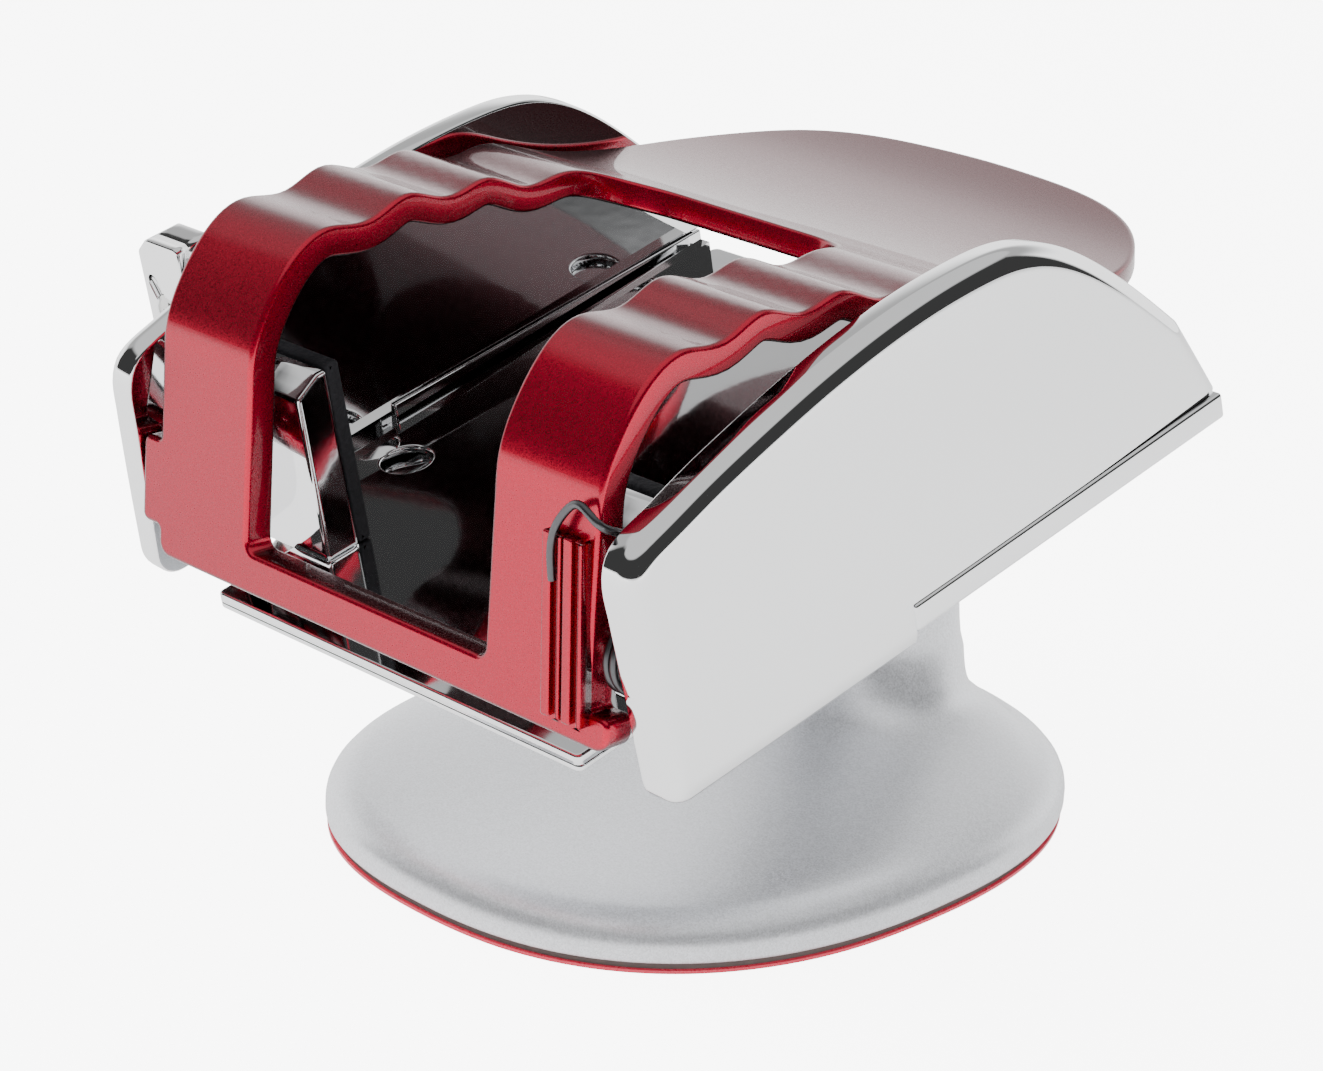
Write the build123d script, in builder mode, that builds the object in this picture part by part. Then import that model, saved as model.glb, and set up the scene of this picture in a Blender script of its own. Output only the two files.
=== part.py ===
"""Dashboard phone holder: a chrome cradle with a spring-closed clamp on a tilting, turning foot.

Millimetres. +X is to the right, +Y to the rear, +Z up. The origin is the middle of the foot's
underside. The cradle lies in planes of its own, pitched up towards the rear: in them x is to the
right, y runs rearwards along the tray and z stands square to the tray.
"""

import os
from math import atan2, copysign, cos, pi, radians, sin

from build123d import *

os.makedirs("parts", exist_ok=True)

# ---------------------------------------------------------------- driving dimensions
# Foot
foot_half_width = 33.9
foot_half_length = 39.8
foot_roundness = 2.35  # exponent of the superellipse
liner_thickness = 0.35
foam_thickness = 0.65
rim_top = 5.0
shell_wall = 2.4
bottom_plate_thickness = 1.4
ballast_half_width = 23.0
ballast_half_length = 24.0
ballast_centre_y = -7.0
ballast_thickness = 1.7
base_screw_x = 22.0
base_screw_y = 26.0

# Neck and head
neck_y = 24.0
neck_radius = 10.6
neck_flare_radius = 17.0
neck_flare_z = 7.6
neck_shoulder_z = 14.0
neck_top = 26.6
neck_bore_radius = 5.0
web_bottom = 9.5
web_top = 13.0
running_gap = 0.05
flange_radius = 8.8
flange_bottom = 26.9
flange_top = 28.3
tilt_z = 33.2
knuckle_radius = 4.4
knuckle_half_width = 4.0
lug_inner = 4.3
lug_outer = 7.3
tilt_bolt_radius = 2.0

# Cradle attitude
pitch = 13.9
cradle_y = -44.0
cradle_z = 25.4

# Tray
floor_thickness = 1.8
nose_half_width = 25.5
nose_length = 12.0
bay_half_width = 34.1
rail_start = 32.0
rail_half_width = 38.6
rail_height = 5.2
rail_chamfer = 2.6
tray_length = 81.4
rear_corner_radius = 4.0
floor_hole_radius = 2.75
floor_hole_depth = 1.0
floor_hole_places = ((28.6, 28.5), (27.4, 69.0))

# Wings
wing_foot_x = 34.3
wing_lean = 4.6
wing_thickness = 4.4
wing_wall = 1.6
wing_skin = 1.4
liner_plate = 1.4
wing_front = -0.4
wing_shoulder = 22.0
wing_edge_radius = 2.0

# Clamp
hinge_y = 3.4
hinge_z = 13.1
pin_radius = 1.5
arm_outer = 30.0
window_half_width = 16.7
window_bottom = 10.2
window_rear = 53.8
window_corner = 8.0
clamp_wall = 3.4
tongue_half_width = 31.6
ear_outer = 32.6
rib_places = (26.0, 28.6)
rib_width = 2.3
rib_groove = 1.0
rib_height = 1.1
rib_length = 17.0
rib_lean = 4.0

# Spring
wire_radius = 0.4
coil_radius = 3.3
coil_pitch = 0.85
coil_turns = 2
coil_x = 30.75

# Foot posts
post_inner = 19.9
post_outer = 31.6
post_front = 10.0
post_depth = 4.2
post_top = 21.8
pad_thickness = 1.6

# Release lever
lever_inner = 39.2
lever_outer = 45.8
lever_front = 12.9
lever_depth = 4.6
lever_bottom = 12.0
lever_top = 30.2
lever_pivot_x = 42.6
lever_pivot_z = 22.0

# ---------------------------------------------------------------- planes and helpers
pitch_cos = cos(radians(pitch))
pitch_sin = sin(radians(pitch))
cradle_origin = (0, cradle_y, cradle_z)
tray_plane = Plane(origin=cradle_origin, x_dir=(1, 0, 0), z_dir=(0, -pitch_sin, pitch_cos))
side_plane = Plane(origin=cradle_origin, x_dir=(0, pitch_cos, pitch_sin), z_dir=(1, 0, 0))
front_plane = Plane(origin=cradle_origin, x_dir=(1, 0, 0), z_dir=(0, -pitch_cos, -pitch_sin))


def superellipse(half_width, half_length):
    """Closed outline of the foot at a given size, as one periodic spline."""
    points = []
    steps = 24
    for step in range(steps):
        turn = 2 * pi * step / steps
        across = copysign(abs(cos(turn)) ** (2 / foot_roundness), cos(turn))
        along = copysign(abs(sin(turn)) ** (2 / foot_roundness), sin(turn))
        points.append((half_width * across, half_length * along))
    return points


def foot_disc(bottom, top, inset=0.0):
    """A plate with the foot's outline, pulled in all round by inset."""
    with BuildPart() as disc:
        with BuildSketch(Plane.XY.offset(bottom)):
            with BuildLine():
                Spline(*superellipse(foot_half_width - inset, foot_half_length - inset), periodic=True)
            make_face()
        extrude(amount=top - bottom)
    return disc.part


def screw(plane, x, y, head_radius, head_height, radius, length):
    """A countersunk screw: its head's flat on the plane, its shank along the plane's normal."""
    with BuildPart() as one:
        with BuildSketch(plane):
            with Locations((x, y)):
                Circle(head_radius)
        with BuildSketch(plane.offset(head_height)):
            with Locations((x, y)):
                Circle(radius)
        loft()
        with BuildSketch(plane.offset(head_height)):
            with Locations((x, y)):
                Circle(radius)
        extrude(amount=length - head_height)
        with BuildSketch(plane):
            with Locations((x, y)):
                Rectangle(head_radius * 1.3, head_radius * 0.3)
                Rectangle(head_radius * 0.3, head_radius * 1.3)
        extrude(amount=head_height * 0.5, mode=Mode.SUBTRACT)
    return one.part


def front_y(height):
    """The clamp's flat front face, which leans rearwards as it rises."""
    return -1.7 + (height - window_bottom) * 0.28


# ---------------------------------------------------------------- foot
foam_bottom = liner_thickness
shell_bottom = liner_thickness + foam_thickness
plate_top = shell_bottom + bottom_plate_thickness
screw_places = [(x, y) for x in (-base_screw_x, base_screw_x) for y in (-base_screw_y, base_screw_y)]

with BuildPart() as release_liner:
    add(foot_disc(0, liner_thickness, inset=0.2))
release_liner.part.label = "release_liner"
export_step(release_liner.part, "parts/release_liner.step")

with BuildPart() as foam_tape:
    add(foot_disc(foam_bottom, shell_bottom, inset=0.6))
foam_tape.part.label = "foam_tape"
export_step(foam_tape.part, "parts/foam_tape.step")

with BuildPart() as base_shell:
    add(foot_disc(shell_bottom, rim_top))
    with BuildSketch(Plane.XY.offset(rim_top)):
        with BuildLine():
            Spline(*superellipse(foot_half_width, foot_half_length), periodic=True)
        make_face()
    with BuildSketch(Plane.XY.offset(neck_flare_z)):
        with BuildLine():
            Spline(*superellipse(foot_half_width * 0.52, foot_half_length * 0.52), periodic=True)
        make_face()
    loft(ruled=True)
    with BuildSketch(Plane.YZ):
        with BuildLine():
            Line((neck_y, shell_bottom), (neck_y, neck_top))
            Line((neck_y, neck_top), (neck_y - neck_radius + 0.6, neck_top))
            Line((neck_y - neck_radius + 0.6, neck_top), (neck_y - neck_radius, neck_top - 0.6))
            Line((neck_y - neck_radius, neck_top - 0.6), (neck_y - neck_radius, neck_shoulder_z))
            SagittaArc(
                (neck_y - neck_radius, neck_shoulder_z), (neck_y - neck_flare_radius + 2, neck_flare_z - 2), 1.5
            )
            Line((neck_y - neck_flare_radius + 2, neck_flare_z - 2), (neck_y - neck_flare_radius + 2, shell_bottom))
            Line((neck_y - neck_flare_radius + 2, shell_bottom), (neck_y, shell_bottom))
        make_face()
    revolve(axis=Axis((0, neck_y, 0), (0, 0, 1)))
    add(foot_disc(shell_bottom, plate_top, inset=shell_wall), mode=Mode.SUBTRACT)
    with BuildSketch(Plane.XY.offset(plate_top)):
        with Locations((0, ballast_centre_y)):
            Ellipse(ballast_half_width + 0.2, ballast_half_length + 0.2)
    extrude(amount=ballast_thickness + 0.1, mode=Mode.SUBTRACT)
    with BuildSketch(Plane.XY.offset(plate_top)):
        with Locations((0, neck_y)):
            Circle(neck_bore_radius)
    extrude(amount=web_bottom - plate_top, mode=Mode.SUBTRACT)
    with BuildSketch(Plane.XY.offset(web_bottom)):
        with Locations((0, neck_y)):
            Circle(tilt_bolt_radius + running_gap)
    extrude(amount=web_top - web_bottom, mode=Mode.SUBTRACT)
    with BuildSketch(Plane.XY.offset(web_top)):
        with Locations((0, neck_y)):
            Circle(neck_bore_radius)
    extrude(amount=neck_top - web_top, mode=Mode.SUBTRACT)
    with BuildSketch(Plane.XY.offset(plate_top)):
        with Locations(*screw_places):
            Circle(1.0)
    extrude(amount=1.7, mode=Mode.SUBTRACT)
base_shell.part.label = "base_shell"
export_step(base_shell.part, "parts/base_shell.step")

with BuildPart() as bottom_plate:
    add(foot_disc(shell_bottom, plate_top, inset=shell_wall + 0.1))
    for place in screw_places:
        with Locations((place[0], place[1], shell_bottom)):
            Cone(2.3, 1.1, 1.2, align=(Align.CENTER, Align.CENTER, Align.MIN), mode=Mode.SUBTRACT)
            Cylinder(1.1, 3.0, align=(Align.CENTER, Align.CENTER, Align.MIN), mode=Mode.SUBTRACT)
bottom_plate.part.label = "bottom_plate"
export_step(bottom_plate.part, "parts/bottom_plate.step")

with BuildPart() as ballast_plate:
    with BuildSketch(Plane.XY.offset(plate_top)):
        with Locations((0, ballast_centre_y)):
            Ellipse(ballast_half_width, ballast_half_length)
    extrude(amount=ballast_thickness)
ballast_plate.part.label = "ballast_plate"
export_step(ballast_plate.part, "parts/ballast_plate.step")

with BuildPart() as base_screws:
    for place in screw_places:
        add(screw(Plane.XY.offset(shell_bottom), place[0], place[1], 2.2, 1.2, 1.0, 3.0))
base_screws.part.label = "base_screws"
export_step(base_screws.part, "parts/base_screws.step")

# ---------------------------------------------------------------- swivel
with BuildPart() as swivel_knuckle:
    with BuildSketch(Plane.XY.offset(web_top + 0.1)):
        with Locations((0, neck_y)):
            Circle(neck_bore_radius - running_gap)
    extrude(amount=flange_bottom - web_top)
    with BuildSketch(Plane.XY.offset(flange_bottom)):
        with Locations((0, neck_y)):
            Circle(flange_radius)
    extrude(amount=flange_top - flange_bottom)
    with BuildSketch(Plane.YZ.offset(-knuckle_half_width)):
        with Locations((neck_y, tilt_z)):
            Circle(knuckle_radius)
        with Locations((neck_y, (tilt_z + flange_bottom) / 2)):
            Rectangle(2 * knuckle_radius, tilt_z - flange_bottom)
    extrude(amount=2 * knuckle_half_width)
    with BuildSketch(Plane.YZ.offset(-knuckle_half_width)):
        with Locations((neck_y, tilt_z)):
            Circle(tilt_bolt_radius + running_gap)
    extrude(amount=2 * knuckle_half_width, mode=Mode.SUBTRACT)
    with BuildSketch(Plane.XY.offset(web_top)):
        with Locations((0, neck_y)):
            Circle(tilt_bolt_radius)
    extrude(amount=8.0, mode=Mode.SUBTRACT)
swivel_knuckle.part.label = "swivel_knuckle"
export_step(swivel_knuckle.part, "parts/swivel_knuckle.step")

with BuildPart() as swivel_washer:
    with BuildSketch(Plane.XY.offset(web_bottom - 0.75)):
        with Locations((0, neck_y)):
            Circle(4.4)
            Circle(tilt_bolt_radius + running_gap, mode=Mode.SUBTRACT)
    extrude(amount=0.7)
swivel_washer.part.label = "swivel_washer"
export_step(swivel_washer.part, "parts/swivel_washer.step")

with BuildPart() as swivel_bolt:
    with BuildSketch(Plane.XY.offset(web_bottom - 3.25)):
        with Locations((0, neck_y)):
            Circle(3.4)
    extrude(amount=2.5)
    with BuildSketch(Plane.XY.offset(web_bottom - 0.75)):
        with Locations((0, neck_y)):
            Circle(tilt_bolt_radius)
    extrude(amount=11.0)
    with BuildSketch(Plane.XY.offset(web_bottom - 3.25)):
        with Locations((0, neck_y)):
            RegularPolygon(1.7, 6)
    extrude(amount=1.4, mode=Mode.SUBTRACT)
swivel_bolt.part.label = "swivel_bolt"
export_step(swivel_bolt.part, "parts/swivel_bolt.step")

# ---------------------------------------------------------------- head under the tray
# The tilt axis in the cradle's own coordinates.
axis_y = (neck_y - cradle_y) * pitch_cos + (tilt_z - cradle_z) * pitch_sin
axis_z = -(neck_y - cradle_y) * pitch_sin + (tilt_z - cradle_z) * pitch_cos
pad_depth = 1.5
plate_depth = 2.0
plate_half_width = 13.0
plate_half_length = 10.5
plate_centre_y = axis_y - 0.5
head_screw_places = [(x, plate_centre_y + y) for x in (-10.3, 10.3) for y in (-7.8, 7.8)]
post_screw_places = [(s * x, post_front + post_depth / 2) for s in (-1, 1) for x in (22.8, 28.8)]
wing_screw_places = [(s * 35.9, y) for s in (-1, 1) for y in (38.0, 54.0, 70.0)]
wing_screw_bottom = 1.6
under_tray = tray_plane.offset(-pad_depth - plate_depth)

with BuildPart() as head_plate:
    with BuildSketch(under_tray):
        with Locations((0, plate_centre_y)):
            RectangleRounded(2 * plate_half_width, 2 * plate_half_length, 3.0)
    extrude(amount=plate_depth)
    for side in (lug_inner, -lug_outer):
        with BuildSketch(side_plane.offset(side)):
            with Locations((axis_y, axis_z)):
                Circle(knuckle_radius)
            with Locations((axis_y, (axis_z - pad_depth - 0.5) / 2)):
                Rectangle(2 * knuckle_radius, -pad_depth - 0.5 - axis_z)
        extrude(amount=lug_outer - lug_inner)
    with BuildSketch(side_plane.offset(-lug_outer)):
        with Locations((axis_y, axis_z)):
            Circle(tilt_bolt_radius + running_gap)
    extrude(amount=2 * lug_outer, mode=Mode.SUBTRACT)
    for place in head_screw_places:
        with BuildSketch(under_tray):
            with Locations(place):
                Circle(2.0)
        with BuildSketch(under_tray.offset(1.2)):
            with Locations(place):
                Circle(1.1)
        loft(mode=Mode.SUBTRACT)
        with BuildSketch(under_tray):
            with Locations(place):
                Circle(1.1)
        extrude(amount=plate_depth, mode=Mode.SUBTRACT)
head_plate.part.label = "head_plate"
export_step(head_plate.part, "parts/head_plate.step")

with BuildPart() as head_screws:
    for place in head_screw_places:
        add(screw(under_tray, place[0], place[1], 1.95, 1.2, 1.0, 4.6))
head_screws.part.label = "head_screws"
export_step(head_screws.part, "parts/head_screws.step")

with BuildPart() as tilt_bolt:
    with BuildSketch(side_plane.offset(-10.6)):
        with Locations((axis_y, axis_z)):
            Circle(tilt_bolt_radius)
    extrude(amount=10.6 + lug_outer + 0.1)
    with BuildSketch(side_plane.offset(lug_outer + 0.1)):
        with Locations((axis_y, axis_z)):
            Circle(3.5)
    extrude(amount=2.6)
    with BuildSketch(side_plane.offset(lug_outer + 1.3)):
        with Locations((axis_y, axis_z)):
            RegularPolygon(1.8, 6)
    extrude(amount=1.4, mode=Mode.SUBTRACT)
tilt_bolt.part.label = "tilt_bolt"
export_step(tilt_bolt.part, "parts/tilt_bolt.step")

with BuildPart() as tilt_nut:
    with BuildSketch(side_plane.offset(-lug_outer - 2.7)):
        with Locations((axis_y, axis_z)):
            RegularPolygon(3.9, 6)
            Circle(tilt_bolt_radius, mode=Mode.SUBTRACT)
    extrude(amount=2.6)
tilt_nut.part.label = "tilt_nut"
export_step(tilt_nut.part, "parts/tilt_nut.step")

# ---------------------------------------------------------------- tray
with BuildPart() as tray:
    with BuildSketch(tray_plane):
        with BuildLine():
            Polyline(
                (-nose_half_width, 0),
                (nose_half_width, 0),
                (nose_half_width, nose_length),
                (bay_half_width, nose_length + 6),
                (bay_half_width, tray_length),
                (-bay_half_width, tray_length),
                (-bay_half_width, nose_length + 6),
                (-nose_half_width, nose_length),
                close=True,
            )
        make_face()
    extrude(amount=floor_thickness)
    with BuildSketch(front_plane.offset(-tray_length)):
        for side in (-1, 1):
            with BuildLine():
                Polyline(
                    (side * (bay_half_width - 2), 0),
                    (side * bay_half_width, 0),
                    (side * rail_half_width, rail_chamfer),
                    (side * (rail_half_width - 0.2), rail_height),
                    (side * (bay_half_width - 0.6), rail_height),
                    (side * (bay_half_width - 0.6), floor_thickness),
                    (side * (bay_half_width - 2), floor_thickness),
                    close=True,
                )
            make_face()
    extrude(amount=tray_length - rail_start)
    with BuildSketch(tray_plane.offset(-pad_depth)):
        with Locations((0, plate_centre_y)):
            RectangleRounded(2 * plate_half_width + 1, 2 * plate_half_length + 1, 3.5)
    extrude(amount=pad_depth)
    with BuildSketch(tray_plane.offset(-pad_depth)):
        with Locations((0, tray_length / 2 - 10)):
            RectangleRounded(2 * rail_half_width, tray_length + 20, rear_corner_radius)
    extrude(amount=pad_depth + rail_height, mode=Mode.INTERSECT)
    for s in (-1, 1):
        for place in floor_hole_places:
            with BuildSketch(tray_plane.offset(floor_thickness)):
                with Locations((s * place[0], place[1])):
                    Circle(floor_hole_radius)
            extrude(amount=-floor_hole_depth, mode=Mode.SUBTRACT)
    for place in post_screw_places:
        with BuildSketch(tray_plane):
            with Locations(place):
                Circle(2.0)
        with BuildSketch(tray_plane.offset(1.0)):
            with Locations(place):
                Circle(1.1)
        loft(mode=Mode.SUBTRACT)
        with BuildSketch(tray_plane):
            with Locations(place):
                Circle(1.1)
        extrude(amount=floor_thickness, mode=Mode.SUBTRACT)
    with BuildSketch(tray_plane.offset(-pad_depth)):
        with Locations(*head_screw_places):
            Circle(1.0)
    extrude(amount=4.6 - plate_depth, mode=Mode.SUBTRACT)
    with BuildSketch(tray_plane):
        with Locations(*wing_screw_places):
            Circle(1.6)
    extrude(amount=wing_screw_bottom + 1.1, mode=Mode.SUBTRACT)
    with BuildSketch(tray_plane):
        with Locations(*wing_screw_places):
            Circle(1.1)
    extrude(amount=rail_height, mode=Mode.SUBTRACT)
tray.part.label = "tray"
export_step(tray.part, "parts/tray.step")

# ---------------------------------------------------------------- wings
lean_cos = cos(radians(wing_lean))
lean_sin = sin(radians(wing_lean))
wing_normal = (lean_cos, -lean_sin * pitch_sin, lean_sin * pitch_cos)
wing_plane = Plane(
    origin=(wing_foot_x, cradle_y, cradle_z), x_dir=(0, pitch_cos, pitch_sin), z_dir=wing_normal
)
wing_step = rail_height + 0.1
rim_points = [
    (wing_front, wing_shoulder),
    (0.7, 25.0),
    (4.8, 26.8),
    (17.2, 29.7),
    (34.7, 32.2),
    (48.0, 32.3),
    (58.0, 30.0),
    (66.7, 23.6),
    (75.3, 14.4),
    (81.2, wing_step),
]
corner_slope = 0.26  # rise per millimetre behind the front corner
rear_slope = 1.9  # fall per millimetre at the rear end


def wing_outline(inset):
    """The wing's side view, pulled in all round by inset."""
    rim = [(wing_front + inset, wing_shoulder)]
    for before, here, after in zip(rim_points, rim_points[1:], rim_points[2:]):
        along = (after[0] - before[0], after[1] - before[1])
        if here is rim_points[2]:
            along = (1, corner_slope)
        size = (along[0] ** 2 + along[1] ** 2) ** 0.5
        rim.append((here[0] + along[1] / size * inset, here[1] - along[0] / size * inset))
    slant = (1 + (1 + rear_slope**2) ** 0.5) / rear_slope
    rim.append((rim_points[-1][0] - inset * slant, wing_step + inset))
    with BuildSketch() as outline:
        with BuildLine():
            Spline(*rim[:3], tangents=[(0, 1), (1, corner_slope)])
            Spline(*rim[2:], tangents=[(1, corner_slope), (1, -rear_slope)])
            Polyline(
                rim[-1],
                (rail_start - inset, wing_step + inset),
                (rail_start - inset, inset),
                (wing_front + inset, inset),
                rim[0],
            )
        make_face()
    return outline.sketch


pin_plane = side_plane.offset(wing_foot_x - 3)

with BuildPart() as right_wing_cover:
    with BuildSketch(wing_plane):
        add(wing_outline(0))
    extrude(amount=wing_thickness)
    outer_edges = right_wing_cover.faces().sort_by(Axis((0, 0, 0), wing_normal))[-1].edges()
    fillet(outer_edges.sort_by(Axis.Z)[2:], wing_edge_radius)
    with BuildSketch(wing_plane):
        add(wing_outline(wing_wall))
    extrude(amount=wing_thickness - wing_skin, mode=Mode.SUBTRACT)
    with BuildSketch(side_plane.offset(wing_foot_x - 1.2)):
        with Locations((hinge_y, hinge_z)):
            Circle(3.0)
    extrude(until=Until.NEXT)
    with BuildSketch(pin_plane):
        with Locations((hinge_y, hinge_z)):
            Circle(pin_radius)
    extrude(amount=5.0, mode=Mode.SUBTRACT)
    with BuildSketch(tray_plane):
        with Locations(*[place for place in wing_screw_places if place[0] > 0]):
            Circle(0.9)
    extrude(amount=wing_step + wing_wall + 0.05, mode=Mode.SUBTRACT)
right_wing_cover.part.label = "right_wing_cover"
export_step(right_wing_cover.part, "parts/right_wing_cover.step")

with BuildPart() as left_wing_cover:
    mirror(right_wing_cover.part, about=Plane.YZ)
left_wing_cover.part.label = "left_wing_cover"
export_step(left_wing_cover.part, "parts/left_wing_cover.step")

with BuildPart() as right_wing_liner:
    with BuildSketch(wing_plane):
        add(wing_outline(wing_wall + 0.05))
    extrude(amount=liner_plate)
    with BuildSketch(pin_plane):
        with Locations((hinge_y, hinge_z)):
            Circle(3.05)
    extrude(amount=6.0, mode=Mode.SUBTRACT)
right_wing_liner.part.label = "right_wing_liner"
export_step(right_wing_liner.part, "parts/right_wing_liner.step")

with BuildPart() as left_wing_liner:
    mirror(right_wing_liner.part, about=Plane.YZ)
left_wing_liner.part.label = "left_wing_liner"
export_step(left_wing_liner.part, "parts/left_wing_liner.step")

with BuildPart() as wing_screws:
    for place in wing_screw_places:
        add(screw(tray_plane.offset(wing_screw_bottom + 0.2), place[0], place[1], 1.5, 0.9, 0.9, 5.0))
wing_screws.part.label = "wing_screws"
export_step(wing_screws.part, "parts/wing_screws.step")

# Bright strips along the feet of the wings.
for side, name in ((1, "right_rail_strip"), (-1, "left_rail_strip")):
    with BuildPart() as rail_strip:
        with BuildSketch(side_plane.offset(side * 32.0 - 0.7)):
            with BuildLine():
                Polyline((24, 1.8), (78, 1.8), (78, 4.6), (24, 3.0), close=True)
            make_face()
        extrude(amount=1.4)
    rail_strip.part.label = name
    export_step(rail_strip.part, f"parts/{name}.step")

# ---------------------------------------------------------------- foot posts and pads
for side, hand in ((1, "right"), (-1, "left")):
    low_x = min(side * post_inner, side * post_outer)
    width = post_outer - post_inner
    post_back = post_front + post_depth
    with BuildPart() as foot_post:
        with BuildSketch(side_plane.offset(low_x)):
            with BuildLine():
                Polyline(
                    (post_front, floor_thickness),
                    (post_back, floor_thickness),
                    (post_back, post_top),
                    (post_back - 1.2, post_top),
                    (post_front, post_top - 1.6),
                    close=True,
                )
            make_face()
        extrude(amount=width)
        chamfer(foot_post.edges().filter_by(Axis((0, 0, 0), (0, -pitch_sin, pitch_cos))), 0.5)
        with BuildSketch(tray_plane.offset(floor_thickness)):
            with Locations(*[place for place in post_screw_places if place[0] * side > 0]):
                Circle(0.9)
        extrude(amount=6.0, mode=Mode.SUBTRACT)
    foot_post.part.label = f"{hand}_foot_post"
    export_step(foot_post.part, f"parts/{hand}_foot_post.step")

    with BuildPart() as foot_pad:
        with BuildSketch(side_plane.offset(low_x)):
            with Locations((post_back + pad_thickness / 2, (floor_thickness + post_top + 0.5) / 2)):
                Rectangle(pad_thickness, post_top + 0.5 - floor_thickness - 0.2)
        extrude(amount=width)
    foot_pad.part.label = f"{hand}_foot_pad"
    export_step(foot_pad.part, f"parts/{hand}_foot_pad.step")

with BuildPart() as post_screws:
    for place in post_screw_places:
        add(screw(tray_plane, place[0], place[1], 1.9, 1.0, 0.9, 7.4))
post_screws.part.label = "post_screws"
export_step(post_screws.part, "parts/post_screws.step")

# ---------------------------------------------------------------- clamp
wall_foot = (front_y(6.2), 6.2)
top_points = [
    (2.6, 25.6),
    (3.4, 28.3),
    (6.8, 33.2),
    (15.4, 37.4),
    (20.4, 36.0),
    (25.4, 36.6),
    (31.0, 34.1),
    (35.6, 34.0),
    (41.0, 30.9),
    (45.3, 30.4),
    (52.4, 27.1),
    (62.0, 22.6),
    (71.0, 19.8),
    (80.0, 18.1),
    (90.6, 17.2),
]
with BuildLine():
    wall_line = Line(wall_foot, top_points[0])
    top_curve = Spline(*top_points)

def inner_point(edge, share, thickness):
    """A point straight under a place on the clamp's outer face."""
    there = edge.position_at(share)
    along = edge.tangent_at(share)
    return (there.X + along.Y * thickness, there.Y - along.X * thickness)


curve_samples = 22
tail_wall = 2.4
inner_points = []
for step in range(curve_samples + 1):
    share = step / curve_samples
    thickness = clamp_wall + (tail_wall - clamp_wall) * share
    inner_points.append(inner_point(top_curve, share, thickness))
inner_foot = inner_point(wall_line, 0.0, clamp_wall)

# The front face's own plane, with its origin at the wall's lower edge.
wall_turn = atan2(top_points[0][0] - wall_foot[0], top_points[0][1] - wall_foot[1])
rib_plane = Plane(
    origin=side_plane.from_local_coords(wall_foot + (0,)),
    x_dir=(1, 0, 0),
    z_dir=side_plane.from_local_coords((-cos(wall_turn), sin(wall_turn), 0)) - side_plane.origin,
)

with BuildPart() as clamp:
    with BuildSketch(side_plane.offset(-ear_outer)):
        with BuildLine():
            Line(wall_foot, top_points[0])
            Spline(*top_points)
            Line(top_points[-1], inner_points[-1])
            Spline(*reversed(inner_points))
            Line(inner_points[0], inner_foot)
            Line(inner_foot, wall_foot)
        make_face()
    extrude(amount=2 * ear_outer)
    with BuildSketch(tray_plane):
        with BuildLine():
            Polyline((-arm_outer, -6), (arm_outer, -6), (arm_outer, 46))
            Spline(
                (arm_outer, 46),
                (31.2, 57),
                (tongue_half_width, 66),
                (30.8, 73.5),
                (28.0, 79.5),
                (22.6, 85.2),
                (14.6, 88.6),
                (0, 90.0),
                (-14.6, 88.6),
                (-22.6, 85.2),
                (-28.0, 79.5),
                (-30.8, 73.5),
                (-tongue_half_width, 66),
                (-31.2, 57),
                (-arm_outer, 46),
                tangents=[(0, 1), (0, -1)],
            )
            Line((-arm_outer, 46), (-arm_outer, -6))
        make_face()
        with Locations((0, 0)):
            Rectangle(2 * ear_outer, 12)
    extrude(amount=60, mode=Mode.INTERSECT)
    for x_far, low, high in ((-ear_outer, 9.0, 17.6), (ear_outer, 6.2, 9.4)):
        middle = (x_far + copysign(arm_outer, x_far)) / 2
        with BuildSketch(front_plane.offset(20)):
            with Locations((middle, low / 2)):
                Rectangle(abs(x_far) - arm_outer, low)
            with Locations((middle, (high + 50) / 2)):
                Rectangle(abs(x_far) - arm_outer, 50 - high)
        extrude(amount=-40, mode=Mode.SUBTRACT)
    with BuildSketch(tray_plane.offset(window_bottom)):
        with Locations((0, window_rear - 50)):
            RectangleRounded(2 * window_half_width, 100, window_corner)
    extrude(amount=60, mode=Mode.SUBTRACT)
    for low_x, high_x in ((-ear_outer, -23.0), (23.0, arm_outer)):
        with BuildSketch(side_plane.offset(low_x)):
            with Locations((hinge_y, hinge_z)):
                Circle(3.6)
        extrude(amount=high_x - low_x)
    with BuildSketch(side_plane.offset(-ear_outer)):
        with Locations((hinge_y, hinge_z)):
            Circle(pin_radius + running_gap)
    extrude(amount=2 * ear_outer, mode=Mode.SUBTRACT)
    for x in rib_places:
        with BuildSketch(rib_plane):
            with Locations(Pos(x, 10.6) * Rot(0, 0, rib_lean)):
                Rectangle(rib_width, rib_length)
        extrude(amount=rib_height)
        with BuildSketch(rib_plane.offset(rib_height)):
            with Locations(Pos(x, 10.6) * Rot(0, 0, rib_lean)):
                Rectangle(rib_groove, rib_length + 1)
        extrude(amount=-rib_height + 0.2, mode=Mode.SUBTRACT)
clamp.part.label = "clamp"
export_step(clamp.part, "parts/clamp.step")

# ---------------------------------------------------------------- clamp hinge
for side, hand in ((1, "right"), (-1, "left")):
    with BuildPart() as hinge_pin:
        with BuildSketch(side_plane.offset(side * 24.0)):
            with Locations((hinge_y, hinge_z)):
                Circle(pin_radius)
        extrude(amount=side * 12.2)
    hinge_pin.part.label = f"{hand}_hinge_pin"
    export_step(hinge_pin.part, f"parts/{hand}_hinge_pin.step")

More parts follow.
